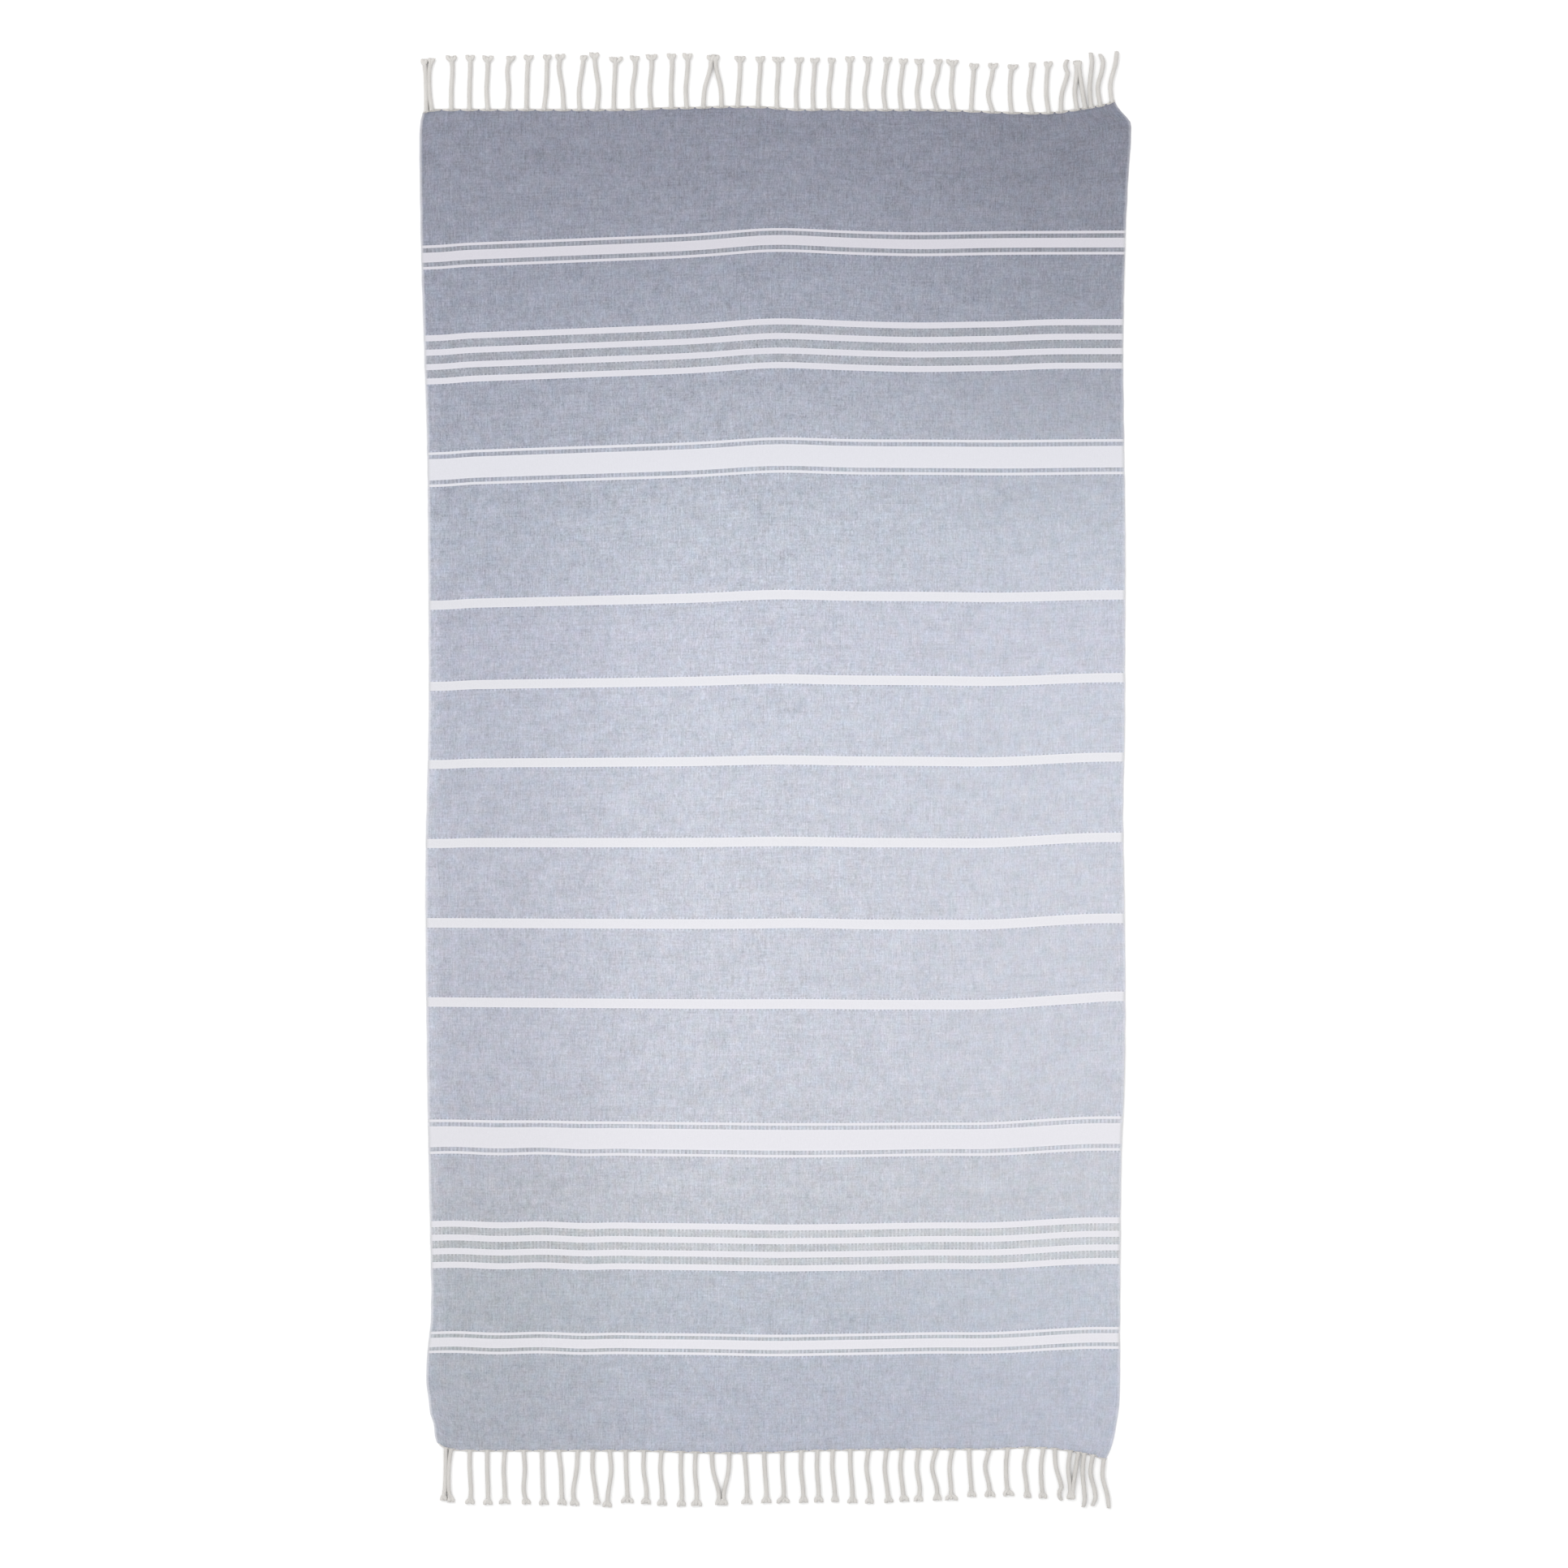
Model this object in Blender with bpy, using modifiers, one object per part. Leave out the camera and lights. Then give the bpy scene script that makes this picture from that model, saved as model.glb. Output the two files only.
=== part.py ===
"""Flat-woven striped runner rug with a twisted fringe at both ends, laid flat on the floor.

Metres, +Z up. Y runs along the length and X across the width. The rug lies on z = 0, and the
origin is the middle of its outline at floor level.

The cloth is woven in runs of weft, one after the other from end to end: a ground run, a white
stripe, the next ground run. Each run is its own node. At both ends the warp threads leave the
last run, are gathered, and are twisted into tassels, which are grouped in sixes along the edge.
"""

import math

import bmesh
import bpy
import numpy as np

MM = 0.001

# The cloth
CLOTH_TOP_END = 883.5 * MM
CLOTH_THICKNESS = 1.0 * MM
GAP = 0.3 * MM
ROW_PITCH = 40 * MM

# Half width of the cloth along its length, as it lies: it is a little waisted, and its
# corners are rounded off. Each point is (y, x), from the upper end down.
LEFT_EDGE = [
    (884, -463), (872, -468.5), (800, -468), (700, -465), (580, -461), (450, -457),
    (100, -455), (-120, -459), (-450, -456), (-620, -452.5), (-705, -452), (-770, -458),
    (-815, -458), (-850, -452), (-886, -442),
]
RIGHT_EDGE = [
    (884, 456), (857, 468.5), (760, 464), (640, 460), (540, 459), (320, 461), (60, 460),
    (-60, 458), (-260, 461), (-390, 460), (-510, 456), (-705, 455), (-800, 456),
    (-850, 450), (-886, 441),
]

# Widths of the stripes, along the cloth
FINE_LINE = 3.5 * MM
BROAD_LINE = 8.0 * MM

# Tassels
TASSELS_PER_COMB = 6
CORD_WIDTH = 5.6 * MM
CORD_SIDES = 6
CORD_RINGS = 10
EDGE_STRIP_DEPTH = 2.1 * MM
EDGE_STRIP_LIFT = 0.2 * MM
EDGE_STRIP_THICKNESS = 1.0 * MM
ROOT_SETBACK = 0.6 * MM
ROOT_LENGTH = 4.0 * MM
ROOT_HEIGHT = 2.4 * MM
TUFT_LENGTH = 9.0 * MM
TUFT_HEIGHT = 4.0 * MM
LOWER_FRINGE_SCALE = 0.96
UPPER_FRINGE_MIDDLE = -6.6 * MM
LOWER_FRINGE_MIDDLE = 1.0 * MM

# One row for each tassel, from left to right, in millimetres:
# place along the edge, sideways drift at a third, at three quarters and at the tip,
# reach beyond the cloth, width of the tuft.
TASSELS = [
    (-452, 0, -1, -3, 66, 9), (-445, -3, -3, 0.5, 68, 10), (-419, 0, 1.5, 0, 71, 14),
    (-395, 0, 1, 1, 72, 12), (-371, -1.5, 0, 0, 71, 14), (-345, 1.5, 0, 4.5, 71, 12),
    (-320, 0.5, 1.5, 3, 72, 13), (-297, 3, 4, 4.5, 72, 11.5), (-271, -1.5, -6, -4, 73, 13),
    (-250, -0.5, 3.5, 5.5, 71, 9), (-227, 2, -2, -3.5, 75, 13), (-205, 0.5, 2, 2.5, 70, 18),
    (-180, -0.5, 3.5, 2.5, 71, 12.5), (-156, -1.5, 1, 1, 73, 14), (-129, -0.5, 1, 0.5, 74, 12),
    (-109, -1, 1.5, 1, 74, 14), (-87, 2, 9.5, 10.5, 72, 11), (-63, -1, -7, -8, 72, 11),
    (-42, 2, 3.5, 3, 71, 15), (-15, 1, 3, 3, 70, 13), (10, 0, 2, 1, 70, 16),
    (36, -0.5, 2.5, 3, 69, 12), (58, -0.5, 1.5, 2, 68, 12), (79, -0.5, 2.5, 3.5, 68, 10.5),
    (103, 0.5, 3, 3, 70, 13), (128, -2.5, 2, 1.5, 70, 12), (153, -2.5, 1, 3, 69, 12),
    (174, -2, 1, 3, 67, 12), (197, -2.5, 1.5, 0, 67, 12), (221, -5.5, 1, 1.5, 66, 11),
    (243, -3.5, -1.5, -1.5, 66, 16.5), (266, 1, 3, 4, 61, 12.5), (294, -5.5, -0.5, 1, 61, 13),
    (319, -2, -1, 2, 60, 14), (346, -4, -1, 0.5, 62, 9.5), (368, -3, -2, 0, 63, 11.5),
    (384, 1.5, 9, 8.5, 65, 7.5), (405, -2.5, 0, 0, 64, 9), (416, -3.5, -7, -9, 64, 9),
    (424, -2, 0.5, -0.5, 74, 6.5), (436, -3, 3, -0.5, 73, 7), (451, -1.5, 5, 7, 76, 6.5),
]

GROUND_COLOUR = (0.485, 0.515, 0.584, 1.0)
STRIPE_COLOUR = (0.765, 0.765, 0.800, 1.0)
FRINGE_COLOUR = (0.690, 0.672, 0.640, 1.0)


def weft_runs():
    """Every run of weft from the upper end down: its node's name, its length and its yarn."""
    runs = []

    def ground(name, length):
        runs.append((name, length, "ground_weft"))

    def white(name, length):
        runs.append((name, length, "stripe_weft"))

    def framed_stripe(name, spacing, wide):
        """A wide stripe between two fine lines, with narrow ground between them."""
        white(name + "_fine_1", FINE_LINE)
        ground(name + "_ground_1", spacing)
        white(name + "_wide", wide)
        ground(name + "_ground_2", spacing)
        white(name + "_fine_2", FINE_LINE)

    def four_lines(name, spacing):
        """Four broad lines with three ground strips between them."""
        for line in range(1, 4):
            white(f"{name}_line_{line}", BROAD_LINE)
            ground(f"{name}_ground_{line}", spacing)
        white(name + "_line_4", BROAD_LINE)

    ground("ground_01", 163.5 * MM)
    white("stripe_01_dotted", 31.5 * MM)
    ground("ground_02", 87.2 * MM)
    four_lines("stripe_02", 11.1 * MM)
    ground("ground_03", 90.7 * MM)
    framed_stripe("stripe_03", 5.5 * MM, 28.4 * MM)
    ground("ground_04", 153.1 * MM)
    white("stripe_04", 12.4 * MM)
    ground("ground_05", 97.3 * MM)
    white("stripe_05", 12.2 * MM)
    ground("ground_06", 93.2 * MM)
    white("stripe_06", 12.0 * MM)
    ground("ground_07", 94.2 * MM)
    white("stripe_07", 12.4 * MM)
    ground("ground_08", 94.6 * MM)
    white("stripe_08", 12.8 * MM)
    ground("ground_09", 92.6 * MM)
    white("stripe_09", 12.6 * MM)
    ground("ground_10", 149.4 * MM)
    framed_stripe("stripe_10", 5.5 * MM, 27.3 * MM)
    ground("ground_11", 87.7 * MM)
    four_lines("stripe_11", 9.9 * MM)
    ground("ground_12", 82.9 * MM)
    white("stripe_12_dotted", 28.5 * MM)
    ground("ground_13", 129.5 * MM)
    return runs


def clear_scene():
    for obj in list(bpy.data.objects):
        bpy.data.objects.remove(obj, do_unlink=True)


def new_collection(name, hidden=False):
    collection = bpy.data.collections.new(name)
    bpy.context.scene.collection.children.link(collection)
    collection.hide_render = hidden
    return collection


def cotton(name, colour, roughness):
    """A matt cotton yarn of one colour."""
    material = bpy.data.materials.new(name)
    material.use_nodes = True
    shader = material.node_tree.nodes["Principled BSDF"]
    shader.inputs["Base Color"].default_value = colour
    shader.inputs["Roughness"].default_value = roughness
    shader.inputs["Metallic"].default_value = 0.0
    material.diffuse_color = colour
    return material


def edge_at(edge, y):
    """The edge's x at this y, along straight stretches between its points."""
    ys = [point[0] * MM for point in reversed(edge)]
    xs = [point[1] * MM for point in reversed(edge)]
    return float(np.interp(y, ys, xs))


def object_of(bm, name, collection, material):
    mesh = bpy.data.meshes.new(name)
    bmesh.ops.recalc_face_normals(bm, faces=bm.faces)
    bm.to_mesh(mesh)
    bm.free()
    mesh.materials.append(material)
    obj = bpy.data.objects.new(name, mesh)
    collection.objects.link(obj)
    return obj


def cloth_run(name, low, high, collection, material):
    """One run of weft: a grid across the cloth between two side edges, thickened upwards."""
    rows = max(1, math.ceil((high - low) / ROW_PITCH))
    bm = bmesh.new()
    bmesh.ops.create_grid(bm, x_segments=1, y_segments=rows, size=0.5)
    for vert in bm.verts:
        across = vert.co.x + 0.5
        along = vert.co.y + 0.5
        y = low + (high - low) * along
        left = edge_at(LEFT_EDGE, y)
        right = edge_at(RIGHT_EDGE, y)
        vert.co = (left + (right - left) * across, y, 0.0)
    obj = object_of(bm, name, collection, material)
    thickness = obj.modifiers.new("thickness", "SOLIDIFY")
    thickness.thickness = CLOTH_THICKNESS
    thickness.offset = 1.0
    return obj


def build_cloth(collection, yarns):
    """All runs of weft, from the upper end down. Returns the y of the cloth's lower end."""
    top = CLOTH_TOP_END
    for name, length, yarn in weft_runs():
        cloth_run(name, top - length + GAP / 2, top - GAP / 2, collection, yarns[yarn])
        top -= length
    return top


def drift_at(t, third, late, tip):
    """Sideways drift along a tassel: a cubic through its root, a third, three quarters and tip."""
    places = np.array([0.0, 0.35, 0.75, 1.0])
    values = np.array([0.0, third, late, tip]) * MM
    return float(np.polyval(np.polyfit(places, values, 3), t))


def section_at(distance, length, tuft_width):
    """Half width and half height of a tassel at this distance from its root."""
    stations = [0.0, ROOT_LENGTH, length - TUFT_LENGTH, length - TUFT_LENGTH / 3, length]
    widths = [CORD_WIDTH * 0.9, CORD_WIDTH, CORD_WIDTH, tuft_width * 0.9, tuft_width]
    heights = [ROOT_HEIGHT, CORD_WIDTH, CORD_WIDTH, TUFT_HEIGHT, TUFT_HEIGHT * 0.7]
    half_width = float(np.interp(distance, stations, widths)) / 2
    half_height = float(np.interp(distance, stations, heights)) / 2
    return half_width, half_height


def ring_distances(length):
    """Where the rings of a tassel lie: at its root, evenly along the cord, and in the tuft."""
    neck = length - TUFT_LENGTH
    cord = list(np.linspace(ROOT_LENGTH, neck, CORD_RINGS - 3))
    return [0.0] + cord + [length - TUFT_LENGTH / 3, length]


def tassel(name, row, side, edge_y, middle, scale, collection, material):
    """A twisted cord that lies on the floor and ends in a flat tuft. It is a cutter's union."""
    place, third, late, tip, reach, tuft = row
    root_y = edge_y + side * ROOT_SETBACK
    length = reach * scale * MM - ROOT_SETBACK
    distances = ring_distances(length)
    bm = bmesh.new()
    bmesh.ops.create_cone(
        bm, cap_ends=True, segments=CORD_SIDES, radius1=1.0, radius2=1.0, depth=1.0
    )
    long_edges = [e for e in bm.edges if abs(e.verts[0].co.z - e.verts[1].co.z) > 0.5]
    bmesh.ops.subdivide_edges(bm, edges=long_edges, cuts=len(distances) - 2)
    highest = max(vert.co.y for vert in bm.verts)
    for vert in bm.verts:
        ring = round((vert.co.z + 0.5) * (len(distances) - 1))
        distance = distances[ring]
        half_width, half_height = section_at(distance, length, tuft * MM)
        drift = drift_at(distance / length, third, late, tip)
        x = middle + place * scale * MM + drift + half_width * vert.co.x
        z = half_height * (1.0 + vert.co.y / highest)
        vert.co = (x, root_y + side * distance, z)
    obj = object_of(bm, name, collection, material)
    obj.hide_render = True
    obj.display_type = "WIRE"
    return obj


def edge_strip(name, left, right, side, edge_y, collection, material):
    """The gathered warp along the cloth's end, which six tassels grow out of."""
    near = edge_y + side * GAP / 2
    far = near + side * EDGE_STRIP_DEPTH
    bpy.ops.mesh.primitive_cube_add(size=1.0)
    obj = bpy.context.active_object
    obj.name = name
    obj.data.name = name
    for vert in obj.data.vertices:
        x = right if vert.co.x > 0 else left
        y = far if vert.co.y > 0 else near
        z = EDGE_STRIP_LIFT + (EDGE_STRIP_THICKNESS if vert.co.z > 0 else 0.0)
        vert.co = (x, y, z)
    if side < 0:
        obj.data.flip_normals()
    obj.data.materials.append(material)
    for owner in list(obj.users_collection):
        owner.objects.unlink(obj)
    collection.objects.link(obj)
    return obj


def comb_limits(places, first, count, left_end, right_end):
    """The strip's two ends: halfway to the neighbouring tassels, or near the cloth's corner."""
    last = first + count - 1
    left = left_end if first == 0 else (places[first - 1] + places[first]) / 2 + GAP / 2
    at_end = last == len(places) - 1
    right = right_end if at_end else (places[last] + places[last + 1]) / 2 - GAP / 2
    return left, right


def build_fringe(prefix, side, edge_y, middle, scale, parts, helpers, material):
    """All tassels of one end, joined in sixes by the gathered warp along the edge."""
    places = [middle + row[0] * scale * MM for row in TASSELS]
    half_cord = CORD_WIDTH / 2
    left_end = places[0] - half_cord
    right_end = places[-1] + half_cord
    for first in range(0, len(TASSELS), TASSELS_PER_COMB):
        number = first // TASSELS_PER_COMB + 1
        node = f"{prefix}_fringe_{number}"
        left, right = comb_limits(places, first, TASSELS_PER_COMB, left_end, right_end)
        strip = edge_strip(node, left, right, side, edge_y, parts, material)
        for index in range(first, first + TASSELS_PER_COMB):
            name = f"{prefix}_tassel_{index + 1}"
            row = TASSELS[index]
            cord = tassel(name, row, side, edge_y, middle, scale, helpers, material)
            joined = strip.modifiers.new(name, "BOOLEAN")
            joined.operation = "UNION"
            joined.solver = "EXACT"
            joined.object = cord


def build():
    clear_scene()
    parts = new_collection("runner_rug")
    helpers = new_collection("fringe_tassels", hidden=True)
    yarns = {
        "ground_weft": cotton("ground_weft", GROUND_COLOUR, 0.92),
        "stripe_weft": cotton("stripe_weft", STRIPE_COLOUR, 0.9),
    }
    fringe_yarn = cotton("fringe_yarn", FRINGE_COLOUR, 0.95)
    lower_end = build_cloth(parts, yarns)
    build_fringe(
        "upper", 1, CLOTH_TOP_END, UPPER_FRINGE_MIDDLE, 1.0, parts, helpers, fringe_yarn
    )
    build_fringe(
        "lower", -1, lower_end, LOWER_FRINGE_MIDDLE, LOWER_FRINGE_SCALE, parts, helpers,
        fringe_yarn,
    )


build()
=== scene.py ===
"""A thin flat-woven cotton runner, lying flat: cross stripes of white weft, twisted fringe at both ends."""

import math
import random

import bmesh
import bpy
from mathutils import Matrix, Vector, noise


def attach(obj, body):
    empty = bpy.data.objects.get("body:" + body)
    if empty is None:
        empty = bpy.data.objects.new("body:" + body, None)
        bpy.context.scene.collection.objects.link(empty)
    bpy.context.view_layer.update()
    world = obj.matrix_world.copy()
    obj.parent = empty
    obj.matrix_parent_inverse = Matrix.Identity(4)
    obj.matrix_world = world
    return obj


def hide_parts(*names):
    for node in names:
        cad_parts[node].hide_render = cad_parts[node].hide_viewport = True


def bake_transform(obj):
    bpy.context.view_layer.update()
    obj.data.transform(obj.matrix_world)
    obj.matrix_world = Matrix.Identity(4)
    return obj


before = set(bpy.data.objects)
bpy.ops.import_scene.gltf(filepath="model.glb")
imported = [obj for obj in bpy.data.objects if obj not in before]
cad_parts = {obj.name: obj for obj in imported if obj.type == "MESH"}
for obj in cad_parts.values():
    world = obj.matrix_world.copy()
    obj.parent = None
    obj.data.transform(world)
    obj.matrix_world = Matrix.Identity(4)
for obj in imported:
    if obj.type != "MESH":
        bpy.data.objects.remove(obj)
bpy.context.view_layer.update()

# ---------------------------------------------------------------- the cloth's flat plan, in metres
# u runs across the woven width and v along the length, as on the loom.

MM = 0.001
HALF_WIDTH = 0.46
WARP_GROUPS_ACROSS = 179
UPPER_END = 0.8835
LOWER_END = -0.8855
GROUND_THICKNESS = 0.0009
STRIPE_THICKNESS = 0.0011
DOT_PITCH = 2 * HALF_WIDTH / WARP_GROUPS_ACROSS

# Name, CAD node, yarn and upper edge of every run of weft, from the upper end down.
# The last row closes the list.
WEFT_RUNS = [
    ("ground_01", "ground_01", "ground", UPPER_END),
    ("dotted_01_fine_1", "stripe_01_dotted", "stripe", 0.7200),
    ("dotted_01_ground_1", "stripe_01_dotted", "ground", 0.7165),
    ("dotted_01_wide", "stripe_01_dotted", "stripe", 0.71065),
    ("dotted_01_ground_2", "stripe_01_dotted", "ground", 0.69785),
    ("dotted_01_fine_2", "stripe_01_dotted", "stripe", 0.6921),
    ("ground_02", "ground_02", "ground", 0.6885),
    ("line_02_1", "stripe_02_line_1", "stripe", 0.6013),
    ("line_02_ground_1", "stripe_02_ground_1", "ground", 0.5933),
    ("line_02_2", "stripe_02_line_2", "stripe", 0.5822),
    ("line_02_ground_2", "stripe_02_ground_2", "ground", 0.5742),
    ("line_02_3", "stripe_02_line_3", "stripe", 0.5631),
    ("line_02_ground_3", "stripe_02_ground_3", "ground", 0.5551),
    ("line_02_4", "stripe_02_line_4", "stripe", 0.5440),
    ("ground_03", "ground_03", "ground", 0.5360),
    ("band_03_fine_1", "stripe_03_fine_1", "stripe", 0.4453),
    ("band_03_ground_1", "stripe_03_ground_1", "ground", 0.4418),
    ("band_03_wide", "stripe_03_wide", "stripe", 0.4363),
    ("band_03_ground_2", "stripe_03_ground_2", "ground", 0.4079),
    ("band_03_fine_2", "stripe_03_fine_2", "stripe", 0.4024),
    ("ground_04", "ground_04", "ground", 0.3989),
    ("single_04", "stripe_04", "stripe", 0.2458),
    ("ground_05", "ground_05", "ground", 0.2334),
    ("single_05", "stripe_05", "stripe", 0.1361),
    ("ground_06", "ground_06", "ground", 0.1239),
    ("single_06", "stripe_06", "stripe", 0.0307),
    ("ground_07", "ground_07", "ground", 0.0187),
    ("single_07", "stripe_07", "stripe", -0.0755),
    ("ground_08", "ground_08", "ground", -0.0879),
    ("single_08", "stripe_08", "stripe", -0.1825),
    ("ground_09", "ground_09", "ground", -0.1953),
    ("single_09", "stripe_09", "stripe", -0.2879),
    ("ground_10", "ground_10", "ground", -0.3005),
    ("band_10_fine_1", "stripe_10_fine_1", "stripe", -0.4499),
    ("band_10_ground_1", "stripe_10_ground_1", "ground", -0.4534),
    ("band_10_wide", "stripe_10_wide", "stripe", -0.4589),
    ("band_10_ground_2", "stripe_10_ground_2", "ground", -0.4862),
    ("band_10_fine_2", "stripe_10_fine_2", "stripe", -0.4917),
    ("ground_11", "ground_11", "ground", -0.4952),
    ("line_11_1", "stripe_11_line_1", "stripe", -0.5829),
    ("line_11_ground_1", "stripe_11_ground_1", "ground", -0.5909),
    ("line_11_2", "stripe_11_line_2", "stripe", -0.6008),
    ("line_11_ground_2", "stripe_11_ground_2", "ground", -0.6088),
    ("line_11_3", "stripe_11_line_3", "stripe", -0.6187),
    ("line_11_ground_3", "stripe_11_ground_3", "ground", -0.6267),
    ("line_11_4", "stripe_11_line_4", "stripe", -0.6366),
    ("ground_12", "ground_12", "ground", -0.6446),
    ("dotted_12_fine_1", "stripe_12_dotted", "stripe", -0.7275),
    ("dotted_12_ground_1", "stripe_12_dotted", "ground", -0.7310),
    ("dotted_12_wide", "stripe_12_dotted", "stripe", -0.7357),
    ("dotted_12_ground_2", "stripe_12_dotted", "ground", -0.7478),
    ("dotted_12_fine_2", "stripe_12_dotted", "stripe", -0.7525),
    ("ground_13", "ground_13", "ground", -0.7560),
    ("end", "", "", LOWER_END),
]

# The two long edges: (v, x) in millimetres, down the length.
LEFT_EDGE = [
    (884, -467.6), (850, -467.7), (800, -467.2), (700, -465), (580, -461), (450, -457), (100, -455),
    (-120, -459), (-450, -456), (-620, -452.5), (-705, -452), (-770, -458), (-886, -458),
]
RIGHT_EDGE = [
    (884, 470), (840, 470), (760, 464.5), (640, 460), (540, 459), (320, 461), (60, 460), (-60, 458),
    (-260, 461), (-390, 460), (-510, 456), (-705, 455), (-886, 456),
]
# How far the four corners are drawn in: (v, millimetres).
LEFT_CORNERS = [
    (884, 4.8), (878, 2.6), (870, 1.4), (862, 0.6), (852, 0), (-790, 0), (-822, 2.6), (-845, 5.2),
    (-852, 7.2), (-862, 9.6), (-876, 10.5), (-886, 13.5),
]
RIGHT_CORNERS = [
    (884, -22.5), (875, -17.5), (866, -10), (858, -2.4), (850, 0), (-800, 0), (-850, -6.5), (-872, -13),
    (-886, -20),
]

# How the two cut ends wander: (x, distance along the length), in millimetres.
UPPER_END_LINE = [
    (-463, -4), (-458, -1.6), (-450, 0), (-440, 0.5), (-372, 0.6), (-198, 0.6), (-148, 2.6), (-107, 3.2),
    (-57, 4.6), (-7, 3.6), (20, 1.2), (43, 0.5), (75, 1.2), (112, 0.4), (203, 0.3), (248, -0.8),
    (298, -2.9), (344, -4), (376, -2.6), (403, 1.5), (431, 6.2), (440, 8.6), (446, 11.6), (450, 12),
]
LOWER_END_LINE = [
    (-444, 13), (-438, 7.8), (-431, 4.4), (-420, 2.8), (-405, 1.9), (-380, 1.6), (-186, 1.7), (-133, 0.4),
    (-89, -1), (-45, -1.4), (0, -0.5), (44, 1.6), (110, 2.8), (198, 3.7), (291, 3.8), (326, 5.8),
    (353, 5.4), (379, 3), (406, -2), (423, -5.2), (431, -8.4), (437, -10),
]

# Beyond these two places the rows settle into line with the cut ends.
SETTLES_ABOVE = 0.70
SETTLES_BELOW = -0.742
# The corners are drawn in beyond this share of the half width, more softly than in a straight line.
DRAWN_FROM = 0.74
DRAWN_OVER = 0.30

# The last soft ripples of the smoothed cloth: size across and along, height, and seed of their noise.
RIPPLES = [(0.21, 0.16, 0.0014, 3.1), (0.075, 0.10, 0.0006, 9.7)]
CALM_BEYOND = 0.64
CALM_OVER = 0.16
FLOOR_GAP = 0.0002

# The folds, and where the bodies meet: (y of the fold, body below, body above, half the turning band).
FOLDS = [
    (0.536, "upper_half", "upper_end", 0.0065),
    (0.0187, "lower_half", "upper_half", 0.010),
    (-0.4952, "lower_end", "lower_half", 0.0065),
]
# The stretches of v at the folds, where the grid's rows lie closer.
CLOSE_ROWS = [(0.524, 0.567), (-0.002, 0.038), (-0.512, -0.480)]


def clamp(x):
    return max(0.0, min(1.0, x))


def ease(x):
    """From 0 to 1 as x goes from 0 to 1, starting and stopping softly."""
    x = clamp(x)
    return x * x * (3 - 2 * x)


def follow(points, t):
    """A smooth line through a short list of points, at t."""
    rising = points[0][0] < points[-1][0]
    pts = points if rising else points[::-1]
    if t <= pts[0][0]:
        return pts[0][1]
    if t >= pts[-1][0]:
        return pts[-1][1]
    i = next(k for k in range(len(pts) - 1) if t <= pts[k + 1][0])
    before = pts[max(i - 1, 0)]
    a, b = pts[i], pts[i + 1]
    after = pts[min(i + 2, len(pts) - 1)]
    width = b[0] - a[0]
    slope_a = (b[1] - before[1]) / (b[0] - before[0]) * width
    slope_b = (after[1] - a[1]) / (after[0] - a[0]) * width
    x = (t - a[0]) / width
    return (
        (2 * x**3 - 3 * x**2 + 1) * a[1]
        + (x**3 - 2 * x**2 + x) * slope_a
        + (3 * x**2 - 2 * x**3) * b[1]
        + (x**3 - x**2) * slope_b
    )


def swell(x, middle, width):
    """A soft rise to 1 at the middle, gone within about two widths of it."""
    return math.exp(-(((x - middle) / width) ** 2))


def bow(s, v):
    """How far the weft has slid along the length, s being the share of the half width."""
    sag = 0.007 + 0.0125 * math.tanh(2.9 * (v - 0.14)) + 0.009 * max(0.0, -v - 0.45)
    turn = math.tanh(4 * (v - 0.08))
    left = sag * (s - math.sqrt(s * s + 0.01)) / 2
    middle = (0.0016 + 0.004 * v) * swell(s, 0.0, 0.16)
    right = 0.0045 * (1 - turn) * ease((s - 0.55) / 0.4)
    return left + 0.003 * turn + middle + right + small_slips(s, v)


def small_slips(s, v):
    """Lesser waves of the weft, each named for its place on the cloth."""
    upper = ease((v - 0.46) / 0.08)
    lower = ease((-v - 0.42) / 0.08)
    upper_dip = -0.0020 * upper * swell(s, 0.42, 0.16)
    upper_right = 0.0022 * upper * ease((s - 0.62) / 0.2) * (1 - ease((v - 0.62) / 0.08))
    lower_right = 0.0022 * lower * swell(s, 0.5, 0.2)
    below_middle = 0.0012 * swell(s, 0.1, 0.12) * swell(v, -0.19, 0.12)
    lower_left = 0.0008 * lower * math.cos(25 * (s + 0.675)) * ease((-s - 0.35) / 0.2)
    right_edge = 0.0025 * swell(s, 0.98, 0.08) * swell(v, -0.29, 0.06)
    broad_right = -0.0018 * swell(s, 0.68, 0.2) * swell(v, 0.17, 0.30)
    left_edge = -0.0015 * ease((v + 0.15) / 0.1) * ease((-s - 0.86) / 0.1)
    slip = 0.0011 + upper_dip + upper_right + lower_right + below_middle
    return slip + lower_left + right_edge + broad_right + left_edge


def lie(x, y):
    """Height of the cloth's underside over the floor."""
    calm = 1 - 0.88 * ease((abs(y) - CALM_BEYOND) / CALM_OVER)
    raised = 0.0
    for across, along, height, seed in RIPPLES:
        raised += height * clamp(0.5 + 0.8 * noise.noise(Vector((x / across, y / along, seed))))
    return calm * raised + FLOOR_GAP


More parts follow.
